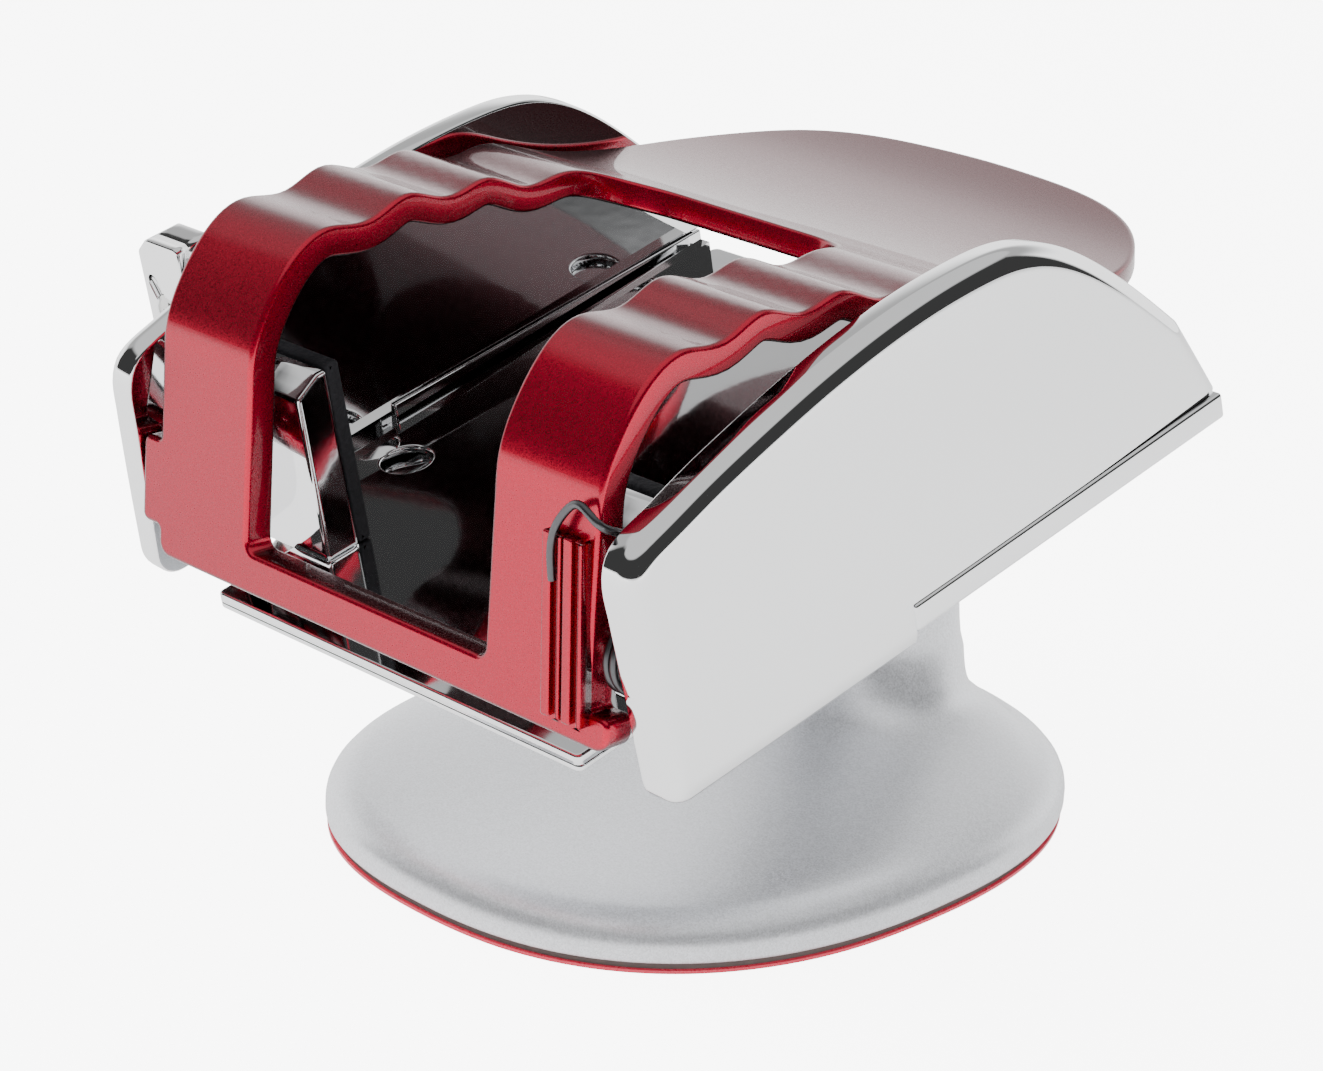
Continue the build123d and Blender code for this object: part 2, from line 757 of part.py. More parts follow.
# Torsion spring: two close turns round the right pin, a short tail down to the tray, and a leg that
# climbs beside the arm and hooks round its edge into the groove of the inner rib.
coil_plane = Plane(
    origin=side_plane.from_local_coords((hinge_y, hinge_z, coil_x)),
    x_dir=side_plane.x_dir,
    z_dir=(1, 0, 0),
)
leg_x = coil_x + coil_pitch * coil_turns
coil_path = coil_plane.location * Helix(coil_pitch, coil_pitch * coil_turns, coil_radius)
with BuildPart() as clamp_spring:
    with BuildSketch(Plane(origin=coil_path @ 0, z_dir=coil_path % 0)):
        Circle(wire_radius)
    sweep(path=coil_path)
    with BuildLine(tray_plane):
        FilletPolyline(
            (leg_x, hinge_y + coil_radius, hinge_z),
            (leg_x, hinge_y + coil_radius, 18.5),
            (31.4, 4.6, 25.0),
            (31.3, 1.9, 27.2),
            (28.4, 2.3, 28.5),
            (25.4, 1.3, 25.2),
            (25.7, 0.2, 20.6),
            radius=1.0,
        )
    leg_start = tray_plane.from_local_coords((leg_x, hinge_y + coil_radius, hinge_z))
    with BuildSketch(Plane(origin=leg_start, z_dir=tray_plane.z_dir)):
        Circle(wire_radius)
    sweep()
    tail_start = coil_plane.from_local_coords((coil_radius, 0, 0))
    with BuildSketch(Plane(origin=tail_start, z_dir=-tray_plane.z_dir)):
        Circle(wire_radius)
    extrude(amount=6.5)
clamp_spring.part.label = "clamp_spring"
export_step(clamp_spring.part, "parts/clamp_spring.step")

# ---------------------------------------------------------------- release lever
lever_plane = front_plane.offset(-lever_front - lever_depth)
with BuildPart() as release_lever:
    with BuildSketch(lever_plane):
        with BuildLine():
            Polyline(
                (-lever_inner, lever_bottom + 2),
                (-lever_inner, lever_top),
                (-lever_outer + 1.6, lever_top),
                (-lever_outer, lever_top - 1.6),
                (-lever_outer, lever_bottom + 2),
                (-lever_outer + 2, lever_bottom),
                (-lever_inner - 1, lever_bottom),
                close=True,
            )
        make_face()
    extrude(amount=lever_depth)
    with BuildSketch(lever_plane.offset(lever_depth)):
        with Locations((-lever_pivot_x, lever_pivot_z)):
            Circle(2.6)
        with Locations(Pos(-lever_pivot_x - 1.4, lever_pivot_z + 3.4) * Rot(0, 0, 22)):
            SlotOverall(8.0, 1.8, rotation=90)
    extrude(amount=-1.6, mode=Mode.SUBTRACT)
    with BuildSketch(lever_plane):
        with Locations((-lever_pivot_x, lever_pivot_z)):
            Circle(pin_radius + running_gap)
    extrude(amount=lever_depth, mode=Mode.SUBTRACT)
release_lever.part.label = "release_lever"
export_step(release_lever.part, "parts/release_lever.step")

lug_front = lever_front + lever_depth + 1.5
lug_depth = 2.4
foot_lift = 0.05
left_wing_plane = Plane(
    origin=(-wing_foot_x, cradle_y, cradle_z),
    x_dir=(0, -pitch_cos, -pitch_sin),
    z_dir=(-lean_cos, -lean_sin * pitch_sin, lean_sin * pitch_cos),
)
with BuildPart() as lever_bracket:
    with BuildSketch(left_wing_plane.offset(wing_thickness + foot_lift)):
        with Locations((-(lug_front + lug_depth - 4.5), 20.5)):
            Rectangle(9.0, 11.0)
    extrude(amount=1.3)
    with BuildSketch(front_plane.offset(-lug_front - lug_depth)):
        with BuildLine():
            Polyline((-38.2, 15.5), (-38.2, 25.5), (-45.4, 25.5), (-45.4, 18.5), (-43.0, 15.5), close=True)
        make_face()
    extrude(amount=lug_depth)
    with BuildSketch(front_plane.offset(-lug_front - lug_depth)):
        with Locations((-lever_pivot_x, lever_pivot_z)):
            Circle(1.25)
    extrude(amount=lug_depth, mode=Mode.SUBTRACT)
lever_bracket.part.label = "lever_bracket"
export_step(lever_bracket.part, "parts/lever_bracket.step")

head_rest = lever_front + 1.6
with BuildPart() as lever_screw:
    with BuildSketch(front_plane.offset(-head_rest + 0.1)):
        with Locations((-lever_pivot_x, lever_pivot_z)):
            Circle(2.2)
    extrude(amount=1.2)
    with BuildSketch(front_plane.offset(-head_rest + 1.3)):
        with Locations((-lever_pivot_x, lever_pivot_z)):
            Rectangle(2.6, 0.6)
            Rectangle(0.6, 2.6)
    extrude(amount=-0.7, mode=Mode.SUBTRACT)
    with BuildSketch(front_plane.offset(-head_rest + 0.1)):
        with Locations((-lever_pivot_x, lever_pivot_z)):
            Circle(pin_radius)
    extrude(amount=-(lug_front - 0.1 - head_rest + 0.1))
    with BuildSketch(front_plane.offset(-lug_front + 0.1)):
        with Locations((-lever_pivot_x, lever_pivot_z)):
            Circle(1.25)
    extrude(amount=-lug_depth)
lever_screw.part.label = "lever_screw"
export_step(lever_screw.part, "parts/lever_screw.step")

spring_plane = Plane(
    origin=front_plane.from_local_coords((-lever_pivot_x, lever_pivot_z, -lug_front + 0.35)),
    x_dir=(-1, 0, 0),
    z_dir=front_plane.z_dir,
)
lever_coil = spring_plane.location * Helix(0.45, 0.8, 2.05)
with BuildPart() as lever_spring:
    with BuildSketch(Plane(origin=lever_coil @ 0, z_dir=lever_coil % 0)):
        Circle(0.2)
    sweep(path=lever_coil)
lever_spring.part.label = "lever_spring"
export_step(lever_spring.part, "parts/lever_spring.step")
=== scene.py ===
"""Dashboard phone holder: a chrome cradle with a red sprung clamp, on a silver foot that tilts and turns."""

from math import atan2, ceil, cos, hypot, pi, radians, sin

import bmesh
import bpy
import numpy as np
from mathutils import Matrix, Vector
from mathutils.geometry import delaunay_2d_cdt


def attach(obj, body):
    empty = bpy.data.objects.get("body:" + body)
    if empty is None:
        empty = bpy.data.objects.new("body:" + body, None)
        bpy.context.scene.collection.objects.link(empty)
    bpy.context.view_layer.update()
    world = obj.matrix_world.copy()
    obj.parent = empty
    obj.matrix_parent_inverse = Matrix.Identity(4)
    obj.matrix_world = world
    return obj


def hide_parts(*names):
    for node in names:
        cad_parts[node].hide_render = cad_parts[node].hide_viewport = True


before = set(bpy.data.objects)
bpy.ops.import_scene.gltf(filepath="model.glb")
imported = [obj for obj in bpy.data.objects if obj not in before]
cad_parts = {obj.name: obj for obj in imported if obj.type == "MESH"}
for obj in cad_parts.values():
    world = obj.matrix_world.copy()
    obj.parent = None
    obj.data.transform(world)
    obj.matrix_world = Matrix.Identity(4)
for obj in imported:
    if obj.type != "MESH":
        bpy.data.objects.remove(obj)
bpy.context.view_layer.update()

# ---------------------------------------------------------------- camera, floor and lights
# A long lens looks down on the holder from its right front corner, over a pale floor that glows
# brighter to the camera than to the holder. A bright white sweep stands behind the holder, a softer
# white ceiling hangs overhead and the front is dark. The lamps don't show in reflections.
camera = bpy.data.objects.new("camera", bpy.data.cameras.new("camera"))
camera.data.lens = 96.93
camera.data.sensor_width = 36.0
camera.data.clip_start = 0.01
right = Vector((0.7142, 0.6984, 0.0484)).normalized()
up = Vector((-0.2820, 0.2237, 0.9331))
up = (up - right * up.dot(right)).normalized()
back = right.cross(up)
turned_to = Matrix((right, up, back)).transposed().to_4x4()
camera.matrix_world = Matrix.Translation((0.2297, -0.2517, 0.1599)) @ turned_to
bpy.context.collection.objects.link(camera)
bpy.context.scene.camera = camera

floor_mesh = bpy.data.meshes.new("floor")
floor_mesh.from_pydata([(-3, -3, 0), (3, -3, 0), (3, 3, 0), (-3, 3, 0)], [], [(0, 1, 2, 3)])
floor = bpy.data.objects.new("floor", floor_mesh)
bpy.context.collection.objects.link(floor)
floor_paper = bpy.data.materials.new("floor_paper")
floor_paper.use_nodes = True
floor_nodes, floor_links = floor_paper.node_tree.nodes, floor_paper.node_tree.links
floor_shader = floor_nodes["Principled BSDF"]
floor_shader.inputs["Base Color"].default_value = (0.90, 0.90, 0.90, 1)
floor_shader.inputs["Roughness"].default_value = 0.8
floor_shader.inputs["Emission Color"].default_value = (1, 1, 1, 1)
on_camera = floor_nodes.new("ShaderNodeLightPath")
glow = floor_nodes.new("ShaderNodeMapRange")
glow.inputs["To Min"].default_value = 0.6
glow.inputs["To Max"].default_value = 7.0
floor_links.new(on_camera.outputs["Is Camera Ray"], glow.inputs["Value"])
floor_links.new(glow.outputs["Result"], floor_shader.inputs["Emission Strength"])
floor.data.materials.append(floor_paper)


def softbox(name, place, aim, width, height, power):
    """A rectangular light at a place, turned towards aim."""
    lamp = bpy.data.lights.new(name, "AREA")
    lamp.shape = "RECTANGLE"
    lamp.size = width
    lamp.size_y = height
    lamp.energy = power
    holder = bpy.data.objects.new(name, lamp)
    holder.location = place
    holder.rotation_euler = (Vector(aim) - Vector(place)).to_track_quat("-Z", "Y").to_euler()
    holder.visible_glossy = False
    bpy.context.collection.objects.link(holder)


softbox("key", (-0.55, -0.55, 0.75), (0, 0, 0.04), 0.5, 0.7, 11)
softbox("right_wall", (0.9, 0.15, 0.35), (0, 0, 0.05), 0.9, 0.7, 7)
softbox("front_fill", (0.35, -0.9, 0.35), (0, 0, 0.04), 0.5, 0.4, 4)

studio = bpy.data.worlds.new("studio")
bpy.context.scene.world = studio
studio.use_nodes = True
tree = studio.node_tree
where = tree.nodes.new("ShaderNodeTexCoord")
split = tree.nodes.new("ShaderNodeSeparateXYZ")
rearwards = tree.nodes.new("ShaderNodeVectorMath")
rearwards.operation = "DOT_PRODUCT"
rearwards.inputs[1].default_value = (-0.686, 0.728, 0)
tree.links.new(where.outputs["Generated"], split.inputs[0])
tree.links.new(where.outputs["Generated"], rearwards.inputs[0])


def band(source, start, end, low, high):
    """A value that goes from low to high as the source goes from start to end."""
    node = tree.nodes.new("ShaderNodeMapRange")
    node.interpolation_type = "SMOOTHSTEP"
    node.inputs["From Min"].default_value = start
    node.inputs["From Max"].default_value = end
    node.inputs["To Min"].default_value = low
    node.inputs["To Max"].default_value = high
    tree.links.new(source, node.inputs["Value"])
    return node.outputs["Result"]


def combined(operation, first, second):
    node = tree.nodes.new("ShaderNodeMath")
    node.operation = operation
    tree.links.new(first, node.inputs[0])
    tree.links.new(second, node.inputs[1])
    return node.outputs[0]


sweep_light = combined("MULTIPLY", band(rearwards.outputs["Value"], 0.24, 0.34, 0.0, 1.0),
                       band(split.outputs["Z"], 0.35, 0.62, 2.2, 0.55))
ceiling_light = band(split.outputs["Z"], 0.64, 0.72, 0.05, 0.8)
tree.links.new(combined("MAXIMUM", sweep_light, ceiling_light), tree.nodes["Background"].inputs["Strength"])
tree.nodes["Background"].inputs["Color"].default_value = (1.0, 1.0, 1.0, 1)


# ---------------------------------------------------------------- foot
# Red release film, grey foam tape and a lacquered silver shell, moulded in one with the neck that
# rises at its rear. The shell's wall is rounded over and its top climbs in one sweep to the neck.
def link_mesh(name, vertices, faces, smooth=True):
    """A new object in the scene from vertices in metres."""
    mesh = bpy.data.meshes.new(name)
    mesh.from_pydata([tuple(v) for v in vertices], [], faces)
    mesh.validate()
    shape = bmesh.new()
    shape.from_mesh(mesh)
    bmesh.ops.recalc_face_normals(shape, faces=shape.faces)
    shape.to_mesh(mesh)
    shape.free()
    if smooth:
        mesh.shade_smooth()
    piece = bpy.data.objects.new(name, mesh)
    bpy.context.collection.objects.link(piece)
    return piece


def detail_group(name, build):
    """A shader node group with a Scale and an Amount, which puts out a Mask and a Height."""
    group = bpy.data.node_groups.new(name, "ShaderNodeTree")
    group.interface.new_socket(name="Scale", in_out="INPUT", socket_type="NodeSocketFloat")
    group.interface.new_socket(name="Amount", in_out="INPUT", socket_type="NodeSocketFloat")
    group.interface.new_socket(name="Mask", in_out="OUTPUT", socket_type="NodeSocketFloat")
    group.interface.new_socket(name="Height", in_out="OUTPUT", socket_type="NodeSocketFloat")
    entry = group.nodes.new("NodeGroupInput")
    leave = group.nodes.new("NodeGroupOutput")
    coordinates = group.nodes.new("ShaderNodeTexCoord")
    mask, height = build(group, entry, coordinates.outputs["Object"])
    group.links.new(mask, leave.inputs["Mask"])
    group.links.new(height, leave.inputs["Height"])
    return group


def times(group, first, second):
    node = group.nodes.new("ShaderNodeMath")
    node.operation = "MULTIPLY"
    group.links.new(first, node.inputs[0])
    if isinstance(second, float):
        node.inputs[1].default_value = second
    else:
        group.links.new(second, node.inputs[1])
    return node.outputs[0]


def build_flake(group, entry, place):
    """Metal flakes in lacquer: small cells that each catch the light differently."""
    cells = group.nodes.new("ShaderNodeTexVoronoi")
    group.links.new(place, cells.inputs["Vector"])
    group.links.new(entry.outputs["Scale"], cells.inputs["Scale"])
    tone = group.nodes.new("ShaderNodeSeparateColor")
    group.links.new(cells.outputs["Color"], tone.inputs[0])
    return times(group, tone.outputs[0], entry.outputs["Amount"]), tone.outputs[1]


def build_handling(group, entry, place):
    """Soft uneven polish and finger marks, from a slow noise and a fast one."""
    slow = group.nodes.new("ShaderNodeTexNoise")
    slow.inputs["Detail"].default_value = 3.0
    group.links.new(place, slow.inputs["Vector"])
    group.links.new(entry.outputs["Scale"], slow.inputs["Scale"])
    fast = group.nodes.new("ShaderNodeTexNoise")
    fast.inputs["Detail"].default_value = 6.0
    group.links.new(place, fast.inputs["Vector"])
    group.links.new(times(group, entry.outputs["Scale"], 14.0), fast.inputs["Scale"])
    both = times(group, slow.outputs["Fac"], fast.outputs["Fac"])
    return times(group, both, entry.outputs["Amount"]), slow.outputs["Fac"]


flake = detail_group("metal_flake", build_flake)
handling = detail_group("handling", build_handling)


def finish(name, color, metallic, detail, scale, amount, rough_range, tint=0.0,
           coat=0.0, coat_roughness=0.03, bump=0.0, bump_distance=0.0001):
    """A material whose roughness, colour and surface all vary with one detail group."""
    material = bpy.data.materials.new(name)
    material.use_nodes = True
    nodes, links = material.node_tree.nodes, material.node_tree.links
    shader = nodes["Principled BSDF"]
    shader.inputs["Metallic"].default_value = metallic
    shader.inputs["Coat Weight"].default_value = coat
    shader.inputs["Coat Roughness"].default_value = coat_roughness
    grain = nodes.new("ShaderNodeGroup")
    grain.node_tree = detail
    grain.inputs["Scale"].default_value = scale
    grain.inputs["Amount"].default_value = amount
    spread = nodes.new("ShaderNodeMapRange")
    links.new(grain.outputs["Mask"], spread.inputs["Value"])
    spread.inputs["To Min"].default_value = rough_range[0]
    spread.inputs["To Max"].default_value = rough_range[1]
    links.new(spread.outputs["Result"], shader.inputs["Roughness"])
    mix = nodes.new("ShaderNodeMix")
    mix.data_type = "RGBA"
    mix.inputs["A"].default_value = (*color, 1)
    mix.inputs["B"].default_value = (*[min(1.0, c * (1 + tint)) for c in color], 1)
    links.new(grain.outputs["Mask"], mix.inputs["Factor"])
    links.new(mix.outputs["Result"], shader.inputs["Base Color"])
    if bump:
        relief = nodes.new("ShaderNodeBump")
        relief.inputs["Strength"].default_value = bump
        relief.inputs["Distance"].default_value = bump_distance
        links.new(grain.outputs["Height"], relief.inputs["Height"])
        links.new(relief.outputs["Normal"], shader.inputs["Normal"])
    return material


def dress(node, material):
    """Gives a CAD node its material, in every slot it has."""
    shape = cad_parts[node]
    if not shape.material_slots:
        shape.data.materials.append(material)
    for place in shape.material_slots:
        place.material = material


foot_half = (0.0339, 0.0398)
foot_roundness = 2.35
neck_y = 0.024
neck_radius = 0.0106


def foot_point(turn, share, inset):
    """A point of the foot's outline, blended towards the neck's circle as share goes to 1."""
    c, s = cos(turn), sin(turn)
    edge_x = (foot_half[0] - inset) * abs(c) ** (2 / foot_roundness) * (1 if c > 0 else -1)
    edge_y = (foot_half[1] - inset) * abs(s) ** (2 / foot_roundness) * (1 if s > 0 else -1)
    neck = ((neck_radius + 0.0008) * c, neck_y + (neck_radius + 0.0008) * s)
    return edge_x + (neck[0] - edge_x) * share, edge_y + (neck[1] - edge_y) * share


foot_rings = []
steps = 144
wall = (  # inset, height
    (0.0030, 0.0010), (0.0004, 0.0010), (0.0001, 0.0012), (0.0, 0.0016), (0.0, 0.0026), (0.0001, 0.0032),
    (0.0004, 0.0039), (0.0009, 0.0045), (0.0016, 0.0050), (0.0024, 0.0054), (0.0034, 0.0057),
)
top = (  # share of the way to the neck, height
    (0.10, 0.0060), (0.22, 0.0063), (0.36, 0.0066), (0.50, 0.0069), (0.62, 0.0072), (0.72, 0.0075),
    (0.80, 0.0079), (0.86, 0.0084), (0.905, 0.0091), (0.94, 0.0100), (0.965, 0.0111), (0.985, 0.0124),
)
neck_rings = (  # radius, height
    (0.01105, 0.0140), (0.0108, 0.0158), (0.0106, 0.0180), (0.0106, 0.0215), (0.0106, 0.0258), (0.01045, 0.0263),
    (0.0101, 0.0266), (0.0060, 0.0266), (0.0051, 0.0265), (0.0050, 0.0262), (0.0050, 0.0140),
)
turns_round = [2 * pi * i / steps for i in range(steps)]
for inset, height in wall:
    foot_rings.append([(*foot_point(turn, 0.0, inset), height) for turn in turns_round])
for share, height in top:
    foot_rings.append([(*foot_point(turn, share, wall[-1][0]), height) for turn in turns_round])
for radius, height in neck_rings:
    foot_rings.append([(radius * cos(turn), neck_y + radius * sin(turn), height) for turn in turns_round])
foot_points = [p for ring in foot_rings for p in ring]
foot_faces = [
    (r * steps + i, r * steps + (i + 1) % steps, (r + 1) * steps + (i + 1) % steps, (r + 1) * steps + i)
    for r in range(len(foot_rings) - 1) for i in range(steps)
]
foot_faces.append(tuple(range(steps)))
foot_faces.append(tuple(range(len(foot_points) - steps, len(foot_points))))
foot_shell = link_mesh("foot_shell", foot_points, foot_faces)
silver_lacquer = finish("silver_lacquer", (0.64, 0.65, 0.675), 0.75, flake, 7000.0, 1.0, (0.30, 0.44),
                        tint=0.35, coat=0.25, coat_roughness=0.2, bump=0.12, bump_distance=0.00005)
foot_shell.data.materials.append(silver_lacquer)
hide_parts("base_shell")
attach(foot_shell, "base")

red_film = finish("red_film", (0.62, 0.025, 0.06), 0.0, handling, 300.0, 1.0, (0.22, 0.45),
                  tint=0.25, coat=0.3)
foam_tape = finish("foam_tape", (0.085, 0.07, 0.065), 0.0, handling, 900.0, 1.0, (0.8, 1.0),
                   tint=0.8, bump=0.5, bump_distance=0.0002)
black_plastic = finish("black_plastic", (0.02, 0.02, 0.022), 0.0, handling, 500.0, 1.0, (0.4, 0.6), tint=0.3,
                       bump=0.1, bump_distance=0.00005)
plain_steel = finish("plain_steel", (0.45, 0.45, 0.45), 1.0, handling, 700.0, 1.0, (0.28, 0.5), tint=0.2)
dress("release_liner", red_film)
dress("foam_tape", foam_tape)
dress("bottom_plate", black_plastic)
dress("ballast_plate", plain_steel)

# ---------------------------------------------------------------- swivel and head
# An upright bolt holds a knuckle in the neck's bore, and a cross bolt through the knuckle carries
# two lugs under the tray: the cradle turns on the first and tilts on the second.
grey_plastic = finish("grey_plastic", (0.07, 0.07, 0.075), 0.0, handling, 500.0, 1.0, (0.35, 0.55), tint=0.3,
                      bump=0.1, bump_distance=0.00005)
screw_steel = finish("screw_steel", (0.62, 0.61, 0.6), 1.0, handling, 900.0, 1.0, (0.18, 0.4), tint=0.2)
dress("swivel_knuckle", grey_plastic)
dress("head_plate", grey_plastic)
dress("swivel_washer", plain_steel)
for node in ("swivel_bolt", "base_screws", "head_screws", "tilt_bolt", "tilt_nut"):
    dress(node, screw_steel)

# ---------------------------------------------------------------- tray
# The chromed tray: a flat floor with four shallow round recesses, a narrower nose in front and a
# chamfered rail along each side of its rear half, on which the wings stand.
pitch = radians(13.9)


def cradle(x, y, z):
    """A point given in the cradle's own millimetres, in metres of the whole."""
    return Vector((x, -44.0 + y * cos(pitch) - z * sin(pitch), 25.4 + y * sin(pitch) + z * cos(pitch))) / 1000


def rounded_loop(corners, step):
    """A closed outline in even steps, from corners given as (u, v, radius)."""
    points = []
    count = len(corners)
    for i, (u, v, radius) in enumerate(corners):
        if radius <= 0:
            points.append((u, v))
            continue
        before = Vector(corners[i - 1][:2]) - Vector((u, v))
        after = Vector(corners[(i + 1) % count][:2]) - Vector((u, v))
        before.normalize()
        after.normalize()
        half = before.angle(after) / 2
        if half > pi / 2 - 0.02:
            points.append((u, v))
            continue
        centre = Vector((u, v)) + (before + after).normalized() * (radius / sin(half))
        first = Vector((u, v)) + before * (radius / np.tan(half)) - centre
        last = Vector((u, v)) + after * (radius / np.tan(half)) - centre
        start = atan2(first.y, first.x)
        sweep = (atan2(last.y, last.x) - start + pi) % (2 * pi) - pi
        pieces = max(3, ceil(abs(sweep) / radians(11)))
        for k in range(pieces + 1):
            turn = start + sweep * k / pieces
            points.append((centre.x + radius * cos(turn), centre.y + radius * sin(turn)))
    even = []
    for a, b in zip(points, points[1:] + points[:1]):
        length = hypot(b[0] - a[0], b[1] - a[1])
        if length < 1e-5:
            continue
        pieces = max(1, ceil(length / step))
        even += [(a[0] + (b[0] - a[0]) * k / pieces, a[1] + (b[1] - a[1]) * k / pieces)
                 for k in range(pieces)]
    return even


def pulled_in(loop, amount):
    """The outline moved to its left by amount, which is inwards on an anticlockwise loop."""
    loop = np.array(loop)
    ahead = np.roll(loop, -1, axis=0) - loop
    ahead /= np.linalg.norm(ahead, axis=1)[:, None]
    behind = np.roll(ahead, 1, axis=0)
    along = ahead + behind
    along /= np.linalg.norm(along, axis=1)[:, None]
    stretch = np.clip(np.sum(along * ahead, axis=1), 0.5, 1.0)
    left = np.stack((-along[:, 1], along[:, 0]), axis=1)
    return loop + left * (amount / stretch)[:, None]


def inside_all(points, loops):
    """Which points lie in the first loop and in none of the others."""
    odd = np.zeros(len(points), dtype=bool)
    for loop in loops:
        a = np.array(loop)
        b = np.roll(a, -1, axis=0)
        for (ax, ay), (bx, by) in zip(a, b):
            if ay == by:
                continue
            crossing = ((ay > points[:, 1]) != (by > points[:, 1])) & (
                points[:, 0] < (bx - ax) * (points[:, 1] - ay) / (by - ay) + ax
            )
            odd ^= crossing
    return odd


def filled(loops, spacing):
    """Triangles over the area between loops, with inner points so that the sheet can bend."""
    corner_count = sum(len(loop) for loop in loops)
    flat = np.concatenate([np.array(loop) for loop in loops])
    low, high = flat.min(axis=0), flat.max(axis=0)
    grid = np.array([
        (u + (spacing / 2 if row % 2 else 0), v)
        for row, v in enumerate(np.arange(low[1] + spacing * 0.6, high[1], spacing * 0.87))
        for u in np.arange(low[0] + spacing * 0.6, high[0], spacing)
    ]).reshape(-1, 2)
    if len(grid):
        grid = grid[inside_all(grid, loops)]
    if len(grid):
        gap = np.min(np.linalg.norm(grid[:, None, :] - flat[None, :, :], axis=2), axis=1)
        grid = grid[gap > spacing * 0.55]
    points = np.concatenate((flat, grid)) if len(grid) else flat
    edges = []
    start = 0
    for loop in loops:
        edges += [(start + i, start + (i + 1) % len(loop)) for i in range(len(loop))]
        start += len(loop)
    made = delaunay_2d_cdt([Vector(p) for p in points], edges, [], 0, 1e-7)
    origin = [ids[0] if ids else None for ids in made[3]]
    triangles = []
    for face in made[2]:
        ids = [origin[i] for i in face]
        if None in ids:
            continue
        triangles.append(ids)
    shapes = points[np.array(triangles)]
    sides = shapes[:, 1:] - shapes[:, :1]
    areas = np.abs(sides[:, 0, 0] * sides[:, 1, 1] - sides[:, 0, 1] * sides[:, 1, 0]) / 2
    keep = inside_all(shapes.mean(axis=1), loops) & (areas > 1e-4)
    return points, [t for t, ok in zip(triangles, keep) if ok], corner_count


def sheet_mesh(loops, place, thickness, edge, spacing=1.6, back_edge=None, turns=5):
    """A plate with rounded edges: place(u, v, depth) bends it, and depth runs from its outer face."""
    back_edge = edge if back_edge is None else back_edge
    profile = []
    if edge > 0:
        profile.append((edge * 1.25, 0.0))
        for k in range(turns + 1):
            turn = pi / 2 * (1 - k / turns)
            profile.append((edge * (1 - cos(turn)), edge * (1 - sin(turn))))
    else:
        profile.append((0.0, 0.0))
    if back_edge > 0:
        for k in range(turns + 1):
            turn = pi / 2 * k / turns
            profile.append((back_edge * (1 - cos(turn)), thickness - back_edge * (1 - sin(turn))))
        profile.append((back_edge * 1.25, thickness))
    else:
        profile.append((0.0, thickness))
    vertices, faces = [], []
    rings = []
    for inset, depth in profile:
        row = []
        for loop in loops:
            moved = pulled_in(loop, inset)
            row.append(range(len(vertices), len(vertices) + len(moved)))
            vertices += [place(u, v, depth) for u, v in moved]
        rings.append(row)
    for upper, lower in zip(rings, rings[1:]):
        for a, b in zip(upper, lower):
            count = len(a)
            faces += [(a[i], b[i], b[(i + 1) % count], a[(i + 1) % count]) for i in range(count)]
    for row, (inset, depth) in ((rings[0], profile[0]), (rings[-1], profile[-1])):
        moved = [pulled_in(loop, inset) for loop in loops]
        points, triangles, corner_count = filled(moved, spacing)
        ids = [i for part in row for i in part]
        ids += range(len(vertices), len(vertices) + len(points) - corner_count)
        vertices += [place(u, v, depth) for u, v in points[corner_count:]]
        faces += [tuple(ids[i] for i in t) for t in triangles]
    return vertices, faces


def join_meshes(*parts):
    """Several vertex and face lists as one."""
    vertices, faces = [], []
    for more, added in parts:
        start = len(vertices)
        vertices += list(more)
        faces += [tuple(start + i for i in face) for face in added]
    return vertices, faces


def backwards(loop):
    return list(reversed(loop))


nose_half, nose_length, bay_half, tray_length = 25.5, 12.0, 34.1, 81.4
floor_thickness, recess_depth = 1.8, 1.0
floor_corners = [
    (-nose_half, 0, 0.7), (nose_half, 0, 0.7), (nose_half, nose_length, 1.5),
    (bay_half, nose_length + 6, 1.5), (bay_half, tray_length, 1.0), (-bay_half, tray_length, 1.0),
    (-bay_half, nose_length + 6, 1.5), (-nose_half, nose_length, 1.5),
]
floor_loop = rounded_loop(floor_corners, 2.0)
recess_radius = 2.75
recess_turns = [-2 * pi * k / 40 for k in range(40)]
recesses = []
for side in (-1, 1):
    for recess_x, recess_y in ((28.6, 28.5), (27.4, 69.0)):
        recesses.append([(side * recess_x + recess_radius * cos(turn), recess_y + recess_radius * sin(turn))
                         for turn in recess_turns])
upper_floor = sheet_mesh([floor_loop] + recesses, lambda u, v, d: cradle(u, v, floor_thickness - d),
                         recess_depth, 0.3, spacing=4.0, back_edge=0.0)
lower_floor = sheet_mesh([floor_loop], lambda u, v, d: cradle(u, v, d), floor_thickness - recess_depth, 0.3,
                         spacing=6.0, back_edge=0.0)
rail_start, rail_length, rail_half, rail_height = 32.0, 47.0, 38.6, 5.2
rails = []
for side in (-1, 1):
    corners = [
        (bay_half - 2.0, 0.0, 0.2), (bay_half, 0.0, 0.4), (rail_half, 2.6, 0.5),
        (rail_half - 0.2, rail_height, 0.35), (bay_half - 0.6, rail_height, 0.2),
        (bay_half - 0.6, floor_thickness, 0), (bay_half - 2.0, floor_thickness, 0),
    ]
    rail_loop = rounded_loop(corners, 1.5)
    rails.append(sheet_mesh([rail_loop], lambda u, v, d, side=side: cradle(side * u, rail_start + d, v),
                            rail_length, 0.25, spacing=2.0))
under_half, under_front, under_rear = 13.5, 56.3, 78.3
under_pad_loop = rounded_loop([
    (-under_half, under_front, 3.5), (under_half, under_front, 3.5),
    (under_half, under_rear, 3.5), (-under_half, under_rear, 3.5)], 2.0)
